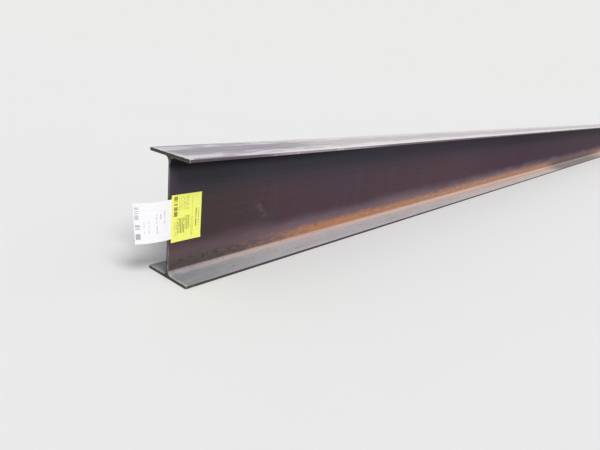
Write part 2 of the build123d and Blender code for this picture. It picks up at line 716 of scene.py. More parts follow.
    def _begun(self, at: SteelMap, span: Span, spread: float) -> Socket:
        """Mask that rises along the bar, mottled where it starts.

        Args:
            at: Where the shader is on the bar.
            span: Distances from the nearer cut end between which it rises.
            spread: How much the mottling shifts it.

        Returns:
            The mask, 0 to 1.
        """
        length = wandered(at.tree, at.from_cut, at.cloud(self.begins), spread)
        return add(at.tree, Kind.STEP, length, *span)

    def _sooted(self, at: SteelMap, colour: Socket) -> Socket:
        """Lay dark and olive crust on the foot of the web by the cut ends.

        Args:
            at: Where the shader is on the bar.
            colour: The web's colour.

        Returns:
            The colour with the crust.
        """
        tree = at.tree
        height = self._ragged_height(at)
        band = add(tree, Kind.TIMES, add(tree, Kind.STEP, height, *self.soot_heights),
                   self._begun(at, self.soot_span, self.soot_spread))
        thick = add(tree, Kind.TIMES, band,
                    add(tree, Kind.STEP, height, *self.spotted_heights), self.spots_share)
        spots = ((add(tree, Kind.TIMES, thick, at.cloud(pattern)), tone) for pattern, tone in (
            (self.spots_dark, self.soot_dark), (self.spots_olive, self.soot_olive)))
        return laid_over(tree, colour,
                         (add(tree, Kind.TIMES, band, self.soot_share), self.soot), *spots)

    def _rust(self, at: SteelMap) -> Socket:
        """Find the rust band on the foot of the web, which grows taller along the bar.

        Args:
            at: Where the shader is on the bar.

        Returns:
            The rust's mask.
        """
        tree = at.tree
        above = add(tree, Kind.MINUS, self._ragged_height(at), self.rust_full)
        fade = add(tree, Kind.REMAP, at.from_cut, *self.rust_fades_over, *self.rust_fades)
        return add(tree, Kind.TIMES,
                   add(tree, Kind.STEP, add(tree, Kind.OVER, above, fade), 1.0, 0.0),
                   self._begun(at, self.rust_span, self.rust_spread),
                   add(tree, Kind.STEP, at.rise, *self.rust_steepness), self.rust_share)

    def _rust_colour(self, at: SteelMap) -> Socket:
        """Colour the rust: ochre where it starts and in clumps, then orange, then paler.

        Args:
            at: Where the shader is on the bar.

        Returns:
            The rust's colour.
        """
        tree = at.tree
        ochre = add(tree, Kind.TIMES, add(tree, Kind.LARGEST, at.cloud(self.ochre_clumps),
                                          at.between(self.ochre_heights)), self.ochre_share)
        young = add(tree, Kind.TIMES, at.along(self.young_span), self.young_share)
        return laid_over(tree, self.rust_orange,
                         (at.along(self.rust_far_span), self.rust_far),
                         (ochre, self.rust_ochre), (young, self.rust_young),
                         (self._dulled(at), self.rust_dulled))

    def _dulled(self, at: SteelMap) -> Socket:
        """Mask of the stretch far along the foot where rust and dust are dull."""
        return add(at.tree, Kind.TIMES, at.along(self.dulled_start),
                   at.along(self.dulled_end))

    def _ledges(self, at: SteelMap, colour: Socket) -> Socket:
        """Lay dust on the lower flange's upper face and its root, peach beside the web.

        The root's curve gets painted shade, and the dust pales along the bar with a painted sheen.

        Args:
            at: Where the shader is on the bar.
            colour: The colour below the dust.

        Returns:
            The colour with the dust.
        """
        tree = at.tree
        width = add(tree, Kind.LEVEL, at.along(self.peach_widens), *self.peach_widths)
        peach = add(tree, Kind.TIMES,
                    add(tree, Kind.STEP, add(tree, Kind.OVER, at.across, width),
                        *self.peach_edge),
                    at.along(self.peach_span), self.peach_share)
        # Painted shade on the root's curve, laid in the smudge colour.
        shade = add(tree, Kind.TIMES,
                    add(tree, Kind.STEP, at.rise, *self.root_shade_rise),
                    add(tree, Kind.STEP, at.rise, *self.root_shade_end),
                    at.along(self.root_shade_span), self.root_shade_share)
        smudge = add(tree, Kind.TIMES, at.cloud(self.smudges), self.smudge_share)
        pale = add(tree, Kind.TIMES, at.cloud(self.pale_patches), self.pale_share)
        dust = laid_over(tree, self.ledge_near,
                         (at.along(self.ledge_mid_span), self.ledge_mid),
                         # Paler along the bar: dust with a painted sheen.
                         (at.along(self.ledge_far_span), self.ledge_far),
                         (smudge, self.ledge_smudge_and_shade), (pale, self.ledge_pale),
                         (peach, self.ledge_peach), (shade, self.ledge_smudge_and_shade),
                         (self._dulled(at), self.ledge_dulled))
        return laid_over(tree, colour,
                         (add(tree, Kind.STEP, at.rise, *self.ledge_rise), dust))

    def _top(self, at: SteelMap, colour: Socket) -> Socket:
        """Lay dust with painted sheen on the upper flange: pale sides, greyer middle.

        Args:
            at: Where the shader is on the bar.
            colour: The colour below the dust.

        Returns:
            The colour with the dust.
        """
        tree = at.tree
        across = wandered(tree, at.across, at.cloud(self.top_clouds), self.top_wander)
        inner = laid_over(tree, self.top_inner,
                          (at.along(self.inner_far_span), self.top_inner_far))
        outer = laid_over(tree, self.top_outer,
                          (at.along(self.outer_far_span), self.top_outer_far))
        nearby = add(tree, Kind.TIMES, at.along(self.smears_end), at.along(self.smears_start))
        smears = add(tree, Kind.TIMES, at.cloud(self.smears),
                     add(tree, Kind.LEVEL, nearby, *self.smears_levels))
        brushed = add(tree, Kind.TIMES, at.cloud(self.brushed), self.brushed_share)
        # Dust with a painted sheen on the upper face.
        dust = laid_over(tree, inner,
                         (add(tree, Kind.STEP, across, *self.outer_across), outer),
                         (smears, self.top_smear), (brushed, self.top_outer_far),
                         *self._rim(at))
        upper = add(tree, Kind.TIMES, at.up, at.between(self.top_heights))
        return laid_over(tree, colour, (upper, dust))

    def _rim(self, at: SteelMap) -> tuple[tuple[Socket, str], ...]:
        """Mark the upper face's rim: dull by the cut ends, pale for a stretch after.

        Args:
            at: Where the shader is on the bar.

        Returns:
            Two layers, each a mask and its colour.
        """
        rim = add(at.tree, Kind.TIMES,
                  add(at.tree, Kind.STEP, at.across, *self.rim_across), self.rim_share)
        dull = add(at.tree, Kind.TIMES, rim, at.along(self.rim_dull_span))
        pale = add(at.tree, Kind.TIMES, rim, at.along(self.rim_pale_start),
                   at.along(self.rim_pale_end))
        return (dull, self.rim_dull), (pale, self.rim_pale)

    def _bare(self, at: SteelMap) -> Socket:
        """Find steel rubbed bare by both cut ends, partly painted highlight, most on top.

        Args:
            at: Where the shader is on the bar.

        Returns:
            The bare steel's mask.
        """
        tree, high = at.tree, at.between(self.top_heights)
        reach = add(tree, Kind.TIMES,
                    add(tree, Kind.LEVEL, at.cloud(self.bare_patches), *self.bare_reach),
                    add(tree, Kind.LEVEL, high, self.bare_low_reach, 1.0))
        share = add(tree, Kind.OVER, at.from_cut, reach)
        return add(tree, Kind.TIMES, add(tree, Kind.STEP, share, *self.bare_edge), at.up,
                   add(tree, Kind.LEVEL, high, self.bare_low_share, 1.0),
                   add(tree, Kind.REMAP, at.side, *self.bare_sides, *self.bare_shares))

    def _knocked(self, at: SteelMap) -> Socket:
        """Find the spots beside both cuts where the web's foot has lost its scale.

        Args:
            at: Where the shader is on the bar.

        Returns:
            The spots' mask.
        """
        return add(at.tree, Kind.TIMES, at.cloud(self.knocked_spots),
                   add(at.tree, Kind.STEP, at.from_cut, *self.knocked_reach),
                   at.between(self.knocked_heights), self.knocked_share)

    def _edges(self, at: SteelMap) -> Socket:
        """Mask of the flanges' narrow outer faces."""
        beyond = (self.bar.width * share for share in self.edge_across)
        return add(at.tree, Kind.TIMES, at.outward, add(at.tree, Kind.STEP, at.across, *beyond))

    def _edge_colour(self, at: SteelMap) -> Socket:
        """Colour those faces by length and by flange.

        Args:
            at: Where the shader is on the bar.

        Returns:
            The faces' colour.
        """
        pale = add(at.tree, Kind.TIMES, at.along(self.edge_pale_start),
                   at.along(self.edge_pale_end))
        return laid_over(at.tree, self.edge_near,
                         (at.along(self.edge_brown_span), self.edge_brown),
                         (pale, self.edge_pale),
                         (at.between(self.edge_low_heights), self.edge_low))

    def _chafe(self, at: SteelMap) -> Socket:
        """Find short pale chafes along the outer faces and toes, most on top.

        Args:
            at: Where the shader is on the bar.

        Returns:
            The chafes' mask.
        """
        rim = (self.bar.width * share for share in self.chafe_across)
        return add(at.tree, Kind.TIMES, at.cloud(self.chafes),
                   add(at.tree, Kind.STEP, at.across, *rim),
                   add(at.tree, Kind.LEVEL, at.between(self.chafe_heights),
                       *self.chafe_levels))


@dataclass(frozen=True)
class SawCutSteel(Finish):
    """Cold-sawn steel face that has dulled in the open.

    The eye gets a dark grey-brown face with fine upright saw lines, a little
    lighter than the scale beside it.
    """

    name: str = "sawn_and_dulled_steel"
    dull: str = "#39322f"
    fresh: str = "#524846"
    # A saw leaves lines near 0.4 mm apart, which are drawn coarser, to show.
    lines: Mottle = Mottle((40.0, 1.4, 60.0), 0.3, 0.7, 3.0, 2.2)
    stains: Mottle = Mottle((20.0, 20.0, 24.0), 0.35, 0.7, 4.0, 6.1)
    lines_share: float = 0.6
    stains_share: float = 0.5
    roughness: Span = (0.45, 0.7)
    metal: float = 0.4
    line_strength: float = 0.4
    line_depth: float = 0.0002

    def looks(self, tree: Tree) -> dict[str, Any]:
        """Lay saw lines that stand upright across the cut, under broad stains.

        Args:
            tree: The material's tree.

        Returns:
            Socket or plain value for each shader input.
        """
        point = add(tree, Kind.POINT)
        lines, stain = self.lines.mask(tree, point), self.stains.mask(tree, point)
        return {
            "Base Color": laid_over(
                tree, self.dull,
                (add(tree, Kind.TIMES, lines, self.lines_share), self.fresh),
                (add(tree, Kind.TIMES, stain, self.stains_share), self.dull)),
            "Roughness": add(tree, Kind.LEVEL, stain, *self.roughness),
            "Metallic": self.metal,
            "Normal": add(tree, Kind.BUMP, lines, self.line_strength, self.line_depth),
        }


@dataclass(frozen=True)
class WornArrisSteel(Finish):
    """Bare steel where handling has rubbed the sawn corner.

    The eye gets a thin bright line on the top flange, bare metal with a painted
    highlight, that breaks up where scale is left, and a duller one below.
    """

    name: str = "rubbed_bare_steel"
    # Bare metal: the top flange's arris is drawn brighter as a painted highlight, the lower ones
    # dim.
    bright: str = "#d6d3d1"
    dim: str = "#a19a96"
    scaled: str = "#584e4d"
    bright_heights: Span = (0.286, 0.294)
    left_scale: Mottle = Mottle((9.0, 9.0, 9.0), 0.44, 0.62, 4.0, 1.9)
    # Rubbing leaves scratches near 0.1 mm wide, which are drawn coarser, to show.
    scratches: Mottle = Mottle((1.0, 1.0, 1.0), 0.3, 0.7, 2.0, 4.8)
    scratch_depth: float = 0.0001
    scratch_strength: float = 0.3
    metal: Span = (0.85, 0.3)
    roughness: Span = (0.35, 0.6)

    def looks(self, tree: Tree) -> dict[str, Any]:
        """Lay painted-highlight metal above or dim metal below, with patches of left scale.

        Args:
            tree: The material's tree.

        Returns:
            Socket or plain value for each shader input.
        """
        point = add(tree, Kind.POINT)
        height = add(tree, Kind.SPLIT, point).node.outputs[2]
        top = add(tree, Kind.STEP, height, *self.bright_heights)
        left = self.left_scale.mask(tree, point)
        return {
            "Base Color": laid_over(tree, self.dim, (top, self.bright), (left, self.scaled)),
            "Metallic": add(tree, Kind.LEVEL, left, *self.metal),
            "Roughness": add(tree, Kind.LEVEL, left, *self.roughness),
            "Normal": add(tree, Kind.BUMP, self.scratches.mask(tree, point),
                          self.scratch_strength, self.scratch_depth),
        }


@dataclass(frozen=True)
class RustCrumb(Finish):
    """Blisters of rust and grit that cling to the foot of the web and its root.

    The eye gets small matt grains, dark and olive by the cut ends and the rust
    band's own orange further on, so they roughen the band more than they dot it.
    """

    name: str = "clinging_rust_crust"
    dark: str = "#463f3b"
    olive: str = "#5c5547"
    orange: str = "#a8765a"
    ochre: str = "#96765a"
    # The grains' own speckle is near 0.5 mm, and is drawn coarser, to show.
    speckle: Mottle = Mottle((3.0, 3.0, 3.0), 0.35, 0.65, 2.0, 3.3)
    # Distances from the bar's middle, between which olive has turned to orange.
    turn: Span = (5.8, 5.5)
    turn_spread: float = 0.2
    roughness: float = 0.95
    gloss: float = 0.2

    def looks(self, tree: Tree) -> dict[str, Any]:
        """Lay mottled colours that turn from olive to orange along the bar.

        Args:
            tree: The material's tree.

        Returns:
            Socket or plain value for each shader input.
        """
        point = add(tree, Kind.POINT)
        speckle = self.speckle.mask(tree, point)
        along = add(tree, Kind.MINUS,
                    add(tree, Kind.UNSIGNED, add(tree, Kind.SPLIT, point)),
                    add(tree, Kind.TIMES, speckle, self.turn_spread))
        near = laid_over(tree, self.dark, (speckle, self.olive))
        further = laid_over(tree, self.orange, (speckle, self.ochre))
        return {
            "Base Color": laid_over(tree, near,
                                    (add(tree, Kind.STEP, along, *self.turn), further)),
            "Roughness": self.roughness,
            "Specular IOR Level": self.gloss,
        }


@dataclass(frozen=True)
class LooseScale(Finish):
    """Flakes of mill scale that have lifted and dropped on the lower flange.

    The eye gets thin chips with a blue-grey skin, a little darker than the dust.
    """

    name: str = "lifted_mill_scale"
    skin: str = "#85828a"
    back: str = "#6b5c57"
    patches: Mottle = Mottle((4.0, 4.0, 4.0), 0.4, 0.6, 3.0, 7.7)
    roughness: Span = (0.4, 0.75)
    metal: float = 0.3

    def looks(self, tree: Tree) -> dict[str, Any]:
        """Lay a blue-grey skin that gives way to a brown back in patches.

        Args:
            tree: The material's tree.

        Returns:
            Socket or plain value for each shader input.
        """
        patches = self.patches.mask(tree, add(tree, Kind.POINT))
        return {
            "Base Color": laid_over(tree, self.skin, (patches, self.back)),
            "Roughness": add(tree, Kind.LEVEL, patches, *self.roughness),
            "Metallic": self.metal,
        }


@dataclass(frozen=True)
class PrintBlock:
    """A block of plain printed marks, placed on a sheet in millimetres.

    Marks are ruled strokes that run up the sheet, or bars that run across it, broken
    by chance so that they read as print but spell nothing.
    """

    left_mm: float
    right_mm: float
    low_mm: float
    high_mm: float
    pitch_mm: float
    fill: float
    bars: bool = False
    dash_mm: float = 2.2
    kept: float = 0.75
    dark: float = 1.0
    seed: float = 0.0

    def marks(self, tree: Tree, u: Socket, v: Socket) -> Socket:
        """Mask of the block's marks.

        Args:
            tree: The tree to build in.
            u: Place across the sheet in millimetres.
            v: Place up the sheet in millimetres.

        Returns:
            The mask, 0 to the block's darkness.
        """
        stepped, run = (v, u) if self.bars else (u, v)
        lane = add(tree, Kind.OVER, stepped, self.pitch_mm)
        dash = add(tree, Kind.FLOOR, add(tree, Kind.OVER, run, self.dash_mm))
        cell = add(tree, Kind.JOIN, add(tree, Kind.FLOOR, lane),
                   self.seed if self.bars else dash, self.seed)
        return add(tree, Kind.TIMES,
                   add(tree, Kind.ABOVE, u, self.left_mm),
                   add(tree, Kind.BELOW, u, self.right_mm),
                   add(tree, Kind.ABOVE, v, self.low_mm),
                   add(tree, Kind.BELOW, v, self.high_mm),
                   add(tree, Kind.BELOW, add(tree, Kind.FRACTION, lane), self.fill),
                   add(tree, Kind.BELOW, add(tree, Kind.LOT, cell), self.kept),
                   self.dark)


@dataclass(frozen=True)
class PrintedPaper(Finish):
    """Coated paper with plain print in one ink.

    The eye gets a smooth bright stock with faint fibre mottling, a soft sheen, and
    matt ink in bars and ruled strokes on the side that faces -Y.
    """

    stock: str
    shade: str
    ink: str
    width_mm: float
    height_mm: float
    blocks: tuple[PrintBlock, ...]
    roughness: float = 0.5
    ink_roughness: float = 0.75
    uv_map: str = "print"
    # Fibres are near 0.05 mm wide: their clouds and their tooth are drawn coarser, to show.
    fibre_mm: float = 6.25
    tooth_mm: float = 0.83
    fibre_detail: float = 4.0
    tooth_detail: float = 3.0
    fibre_levels: Span = (0.35, 0.7)
    tooth_strength: float = 0.2
    tooth_depth: float = 0.0001
    gloss: float = 0.35

    def looks(self, tree: Tree) -> dict[str, Any]:
        """Lay stock and print by the sheet's own map, in millimetres.

        Args:
            tree: The material's tree.

        Returns:
            Socket or plain value for each shader input.
        """
        sheet = add(tree, Kind.STRETCH, add(tree, Kind.SHEET_MAP, uv_map=self.uv_map),
                    (self.width_mm, self.height_mm, 0.0))
        u, v = add(tree, Kind.SPLIT, sheet).node.outputs[:2]
        printed_side = add(tree, Kind.BELOW, add(
            tree, Kind.SPLIT, add(tree, Kind.FACING)).node.outputs[1], 0.0)
        inked = add(tree, Kind.TIMES, printed_side, add(
            tree, Kind.LARGEST, *(block.marks(tree, u, v) for block in self.blocks)))
        fibre = add(tree, Kind.STEP,
                    add(tree, Kind.NOISE, sheet, 1 / self.fibre_mm, self.fibre_detail),
                    *self.fibre_levels)
        tooth = add(tree, Kind.NOISE, sheet, 1 / self.tooth_mm, self.tooth_detail)
        return {
            "Base Color": laid_over(tree, self.stock, (fibre, self.shade), (inked, self.ink)),
            "Specular IOR Level": self.gloss,
            "Roughness": add(tree, Kind.LEVEL, inked, self.roughness, self.ink_roughness),
            "Normal": add(tree, Kind.BUMP, tooth, self.tooth_strength, self.tooth_depth),
        }


@dataclass(frozen=True)
class StudioFloor(Finish):
    """Matt pale paint on a smooth floor; the eye gets a plain surface and soft shadows."""

    name: str = "pale_matt_floor_paint"
    paint: str = "#f4f3f1"
    worn: str = "#f3f2f0"
    clouds: Mottle = Mottle((900.0, 900.0, 900.0), 0.3, 0.7)
    roughness: float = 0.95
    gloss: float = 0.1

    def looks(self, tree: Tree) -> dict[str, Any]:
        """Lay one pale paint that is hardly uneven.

        Args:
            tree: The material's tree.

        Returns:
            Socket or plain value for each shader input.
        """
        cloud = self.clouds.mask(tree, add(tree, Kind.POINT))
        return {
            "Base Color": laid_over(tree, self.paint, (cloud, self.worn)),
            "Roughness": self.roughness,
            "Specular IOR Level": self.gloss,
        }


@dataclass
class GrownPiece:
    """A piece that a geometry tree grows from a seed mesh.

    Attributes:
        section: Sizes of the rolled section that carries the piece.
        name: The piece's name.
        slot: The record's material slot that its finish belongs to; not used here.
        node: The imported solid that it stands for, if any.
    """

    section: RolledSection
    name: str = "grown_piece"
    slot: str = "rolled_steel"
    node: str | None = None

    def sizes(self) -> dict[str, Any]:
        """Every named input of the tree with its value."""
        raise NotImplementedError

    def wire(self, tree: Tree, given: Any) -> Socket:
        """Lay the tree's nodes and hand back the last geometry.

        Args:
            tree: The tree to build in.
            given: The tree's inputs, by name.

        Returns:
            The finished geometry.
        """
        raise NotImplementedError

    def seed_mesh(self) -> bpy.types.Mesh:
        """The mesh that the tree starts from, with nothing in it unless a piece says so."""
        return bpy.data.meshes.new(self.name + "_seed")

    def tidy(self, mesh: bpy.types.Mesh) -> None:
        """Mend the plain mesh, where a piece needs it."""

    def build(self) -> bpy.types.Object:
        """Grow the piece, make it a plain mesh and give it to the frame.

        Returns:
            The finished piece.
        """
        sizes = self.sizes()
        tree = bpy.data.node_groups.new(self.name + "_growth", "GeometryNodeTree")
        for direction in ("INPUT", "OUTPUT"):
            tree.interface.new_socket(name="Geometry", in_out=direction,
                                      socket_type="NodeSocketGeometry")
        identifiers = {label: tree.interface.new_socket(
            name=label, in_out="INPUT", socket_type=SOCKET_TYPES[type(value)]).identifier
            for label, value in sizes.items()}
        add(tree, Kind.RESULT, self.wire(tree, add(tree, Kind.GIVEN).node.outputs))
        carrier = bpy.data.objects.new(self.name + "_carrier", self.seed_mesh())
        bpy.context.scene.collection.objects.link(carrier)
        modifier = carrier.modifiers.new("grow", "NODES")
        modifier.node_group = tree
        for label, value in sizes.items():
            modifier[identifiers[label]] = value
        evaluated = carrier.evaluated_get(bpy.context.evaluated_depsgraph_get())
        mesh = bpy.data.meshes.new_from_object(evaluated)
        mesh.name = self.name
        carrier.modifiers.remove(modifier)
        bpy.data.objects.remove(carrier)
        self.tidy(mesh)
        return hand_over(self.name, mesh, self.node)


def crowded_length(tree: Tree, given: Any, start: float, seed: int) -> Socket:
    """Chance place along the bar that is more likely by the labelled end.

    Args:
        tree: The tree to build in.
        given: The tree's inputs, with its Length and its Crowding.
        start: Lowest lot that is drawn; the nearer to 0, the denser the end.
        seed: Seed of the lot.

    Returns:
        The place on X, which stays just inside both cut ends.
    """
    lot = add(tree, Kind.NUMBER_LOT, start, 1.0, seed)
    share = add(tree, Kind.REMAP, add(tree, Kind.POWER, lot, given["Crowding"]),
                add(tree, Kind.POWER, start, given["Crowding"]), 1.0, -0.5, 0.5)
    return add(tree, Kind.TIMES, share, given["Length"], SCATTER_LENGTH)


def hand_over(name: str, mesh: bpy.types.Mesh,
              node: str | None) -> bpy.types.Object:
    """Make a finished mesh a piece of the frame and log it.

    Args:
        name: The piece's name.
        mesh: Its finished mesh.
        node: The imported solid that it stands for, or None.

    Returns:
        The piece.
    """
    piece = bpy.data.objects.new(name, mesh)
    bpy.context.scene.collection.objects.link(piece)
    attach(piece, "root")
    if node is not None:
        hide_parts(node)
    mesh.calc_loop_triangles()
    log.info("%s: %d triangles", name, len(mesh.loop_triangles))
    return piece


@dataclass
class RolledBeam(GrownPiece):
    """The rolled bar: its I outline swept between two sawn ends with rubbed arrises."""

    name: str = "rolled_beam"
    node: str | None = "beam"
    rings: int = 241
    root_steps: int = 8
    toe_steps: int = 3
    arris: float = 0.0005
    # How near to the bar's end a point is pulled in, and a face counts as arris.
    end_reach: float = 1e-4
    arris_reach: float = 4e-4
    sawn_facing: float = 0.97
    wear_mm: float = 6.0
    wear_detail: float = 3.0
    wear_levels: Span = (0.2, 2.2)
    weld: float = 1e-6
    largest_face: int = 4
    smooth_angle: float = 32.0

    def sizes(self) -> dict[str, Any]:
        """Give the section's sizes, the sweep's steps and the three finishes.

        Returns:
            Value for each named input of the tree.
        """
        bar = self.section
        return {
            "Depth": bar.depth,
            "Flange Width": bar.width,
            "Web Thickness": bar.web,
            "Flange Thickness": bar.flange,
            "Root Radius": bar.root,
            "Toe Radius": bar.toe,
            "Length": bar.length,
            "Arris": self.arris,
            "Rings": self.rings,
            "Root Steps": self.root_steps,
            "Toe Steps": self.toe_steps,
            "Scale Finish": HotRolledScale(bar=bar).material(),
            "Sawn Finish": SawCutSteel().material(),
            "Arris Finish": WornArrisSteel().material(),
        }

    def seed_mesh(self) -> bpy.types.Mesh:
        """Loop of the outline's twelve corners, each with what the tree needs to place it.

        Returns:
            A mesh of twelve points and edges with one attribute for each property.
        """
        half = [(0, 1, 1, 0), (0, 1, 1, 1), (1, 1, 1, 1),
                (1, 1, -1, 1), (0, 1, -1, 1), (0, 1, -1, 0)]
        loop = half + [(root, -side, level, inner) for root, side, level, inner in half[::-1]]
        mesh = bpy.data.meshes.new("outline_corners")
        mesh.from_pydata([(float(i), 0.0, 0.0) for i in range(len(loop))],
                         [(i, (i + 1) % len(loop)) for i in range(len(loop))], [])
        for label, values in zip(("at_root", "side", "level", "inner"), zip(*loop)):
            column = mesh.attributes.new(label, "FLOAT", "POINT")
            column.data.foreach_set("value", [float(value) for value in values])
        return mesh

    def wire(self, tree: Tree, given: Any) -> Socket:
        """Lay outline, rounding, stations, sweep, arrises and finishes, in that order.

        Args:
            tree: The tree to build in.
            given: The tree's inputs, by name.

        Returns:
            The finished bar.
        """
        bar = add(tree, Kind.SWEEP, self._stations(tree, given),
                  self._outline(tree, given), True)
        bar, worn, sawn = self._shape(tree, given, bar)
        bar = add(tree, Kind.REALIZE, bar)
        bar = add(tree, Kind.DRESS, bar, None, given["Scale Finish"])
        bar = add(tree, Kind.DRESS, bar, worn, given["Arris Finish"])
        return add(tree, Kind.DRESS, bar, sawn, given["Sawn Finish"])

    def _outline(self, tree: Tree, given: Any) -> Socket:
        """Place the corners from the sizes, round them, and keep place and outward.

        Args:
            tree: The tree to build in.
            given: The tree's inputs, by name.

        Returns:
            The rounded outline, which stores its own place and outward direction.
        """
        at_root, side, level, inner = (add(tree, Kind.READ, label)
                                       for label in ("at_root", "side", "level", "inner"))
        reach = add(tree, Kind.LEVEL, at_root, given["Flange Width"], given["Web Thickness"])
        half_depth = add(tree, Kind.TIMES, given["Depth"], 0.5)
        rise = add(tree, Kind.MINUS, half_depth,
                   add(tree, Kind.TIMES, inner, given["Flange Thickness"]))
        place = add(tree, Kind.JOIN, add(tree, Kind.TIMES, side, reach, 0.5),
                    add(tree, Kind.PLUS, add(tree, Kind.TIMES, level, rise), half_depth), 0.0)
        curve = add(tree, Kind.TO_CURVE, add(tree, Kind.MOVE, given["Geometry"], None, place))
        curve = add(tree, Kind.ROUND, curve,
                    add(tree, Kind.LEVEL, at_root, given["Toe Steps"], given["Root Steps"]),
                    add(tree, Kind.LEVEL, at_root, given["Toe Radius"], given["Root Radius"]),
                    True)
        outward = add(tree, Kind.CROSS, add(tree, Kind.TANGENT), (0.0, 0.0, 1.0))
        curve = add(tree, Kind.STORE_VECTOR, curve, "outward", outward)
        return add(tree, Kind.STORE_VECTOR, curve, "outline", add(tree, Kind.POSITION))

    def _stations(self, tree: Tree, given: Any) -> Socket:
        """Lay a rail along X whose points crowd towards both ends, on a sine.

        Args:
            tree: The tree to build in.
            given: The tree's inputs, by name.

        Returns:
            The rail.
        """
        rail = add(tree, Kind.LINE, (-1.0, 0.0, 0.0), (1.0, 0.0, 0.0))
        rail = add(tree, Kind.DIVIDE, rail, given["Rings"])
        share = add(tree, Kind.SPLIT, add(tree, Kind.POSITION))
        crowded = add(tree, Kind.SINE, add(tree, Kind.TIMES, share, math.pi / 2))
        x = add(tree, Kind.TIMES, crowded, given["Length"], 0.5)
        return add(tree, Kind.MOVE, rail, None, add(tree, Kind.JOIN, x, 0.0, 0.0))

    def _shape(self, tree: Tree, given: Any, bar: Socket) -> tuple[Socket, Socket, Socket]:
        """Stand the sweep upright, pull its last rings in, and tell the ends' faces.

        Args:
            tree: The sweep's tree.
            given: The tree's inputs.
            bar: The swept mesh.

        Returns:
            The mesh, the selection of arris faces and the selection of sawn faces.
        """
        x = add(tree, Kind.SPLIT, add(tree, Kind.POSITION))
        flat = add(tree, Kind.SPLIT, add(tree, Kind.READ_VECTOR, "outline")).node.outputs
        out = add(tree, Kind.SPLIT, add(tree, Kind.READ_VECTOR, "outward")).node.outputs
        bar = add(tree, Kind.MOVE, bar, None, add(tree, Kind.JOIN, x, flat[0], flat[1]))
        from_middle = add(tree, Kind.UNSIGNED, x)
        half = add(tree, Kind.TIMES, given["Length"], 0.5)
        at_end, worn = (
            add(tree, Kind.ABOVE, from_middle, add(tree, Kind.MINUS, half, reach))
            for reach in (self.end_reach, self.arris_reach))
        wear = add(tree, Kind.NOISE, add(tree, Kind.POSITION), per_metre(self.wear_mm),
                   self.wear_detail)
        depth = add(tree, Kind.TIMES, given["Arris"],
                    add(tree, Kind.LEVEL, wear, *self.wear_levels))
        pull = add(tree, Kind.SCALE, add(tree, Kind.JOIN, 0.0, out[0], out[1]), depth)
        bar = add(tree, Kind.MOVE, bar, at_end, None, pull)
        facing = add(tree, Kind.UNSIGNED, add(tree, Kind.SPLIT, add(tree, Kind.NORMAL)))
        return bar, worn, add(tree, Kind.ABOVE, facing, self.sawn_facing)

    def tidy(self, mesh: bpy.types.Mesh) -> None:
        """Merge doubles, split the two big end faces, turn faces outwards and smooth.

        Args:
            mesh: The bar's mesh, changed in place.
        """
        work = bmesh.new()
        work.from_mesh(mesh)
        bmesh.ops.remove_doubles(work, verts=work.verts, dist=self.weld)
        bmesh.ops.triangulate(work, faces=[face for face in work.faces
                                           if len(face.verts) > self.largest_face])
        bmesh.ops.recalc_face_normals(work, faces=work.faces)
        work.to_mesh(mesh)
        work.free()
        mesh.shade_smooth()
        mesh.set_sharp_from_angle(angle=math.radians(self.smooth_angle))


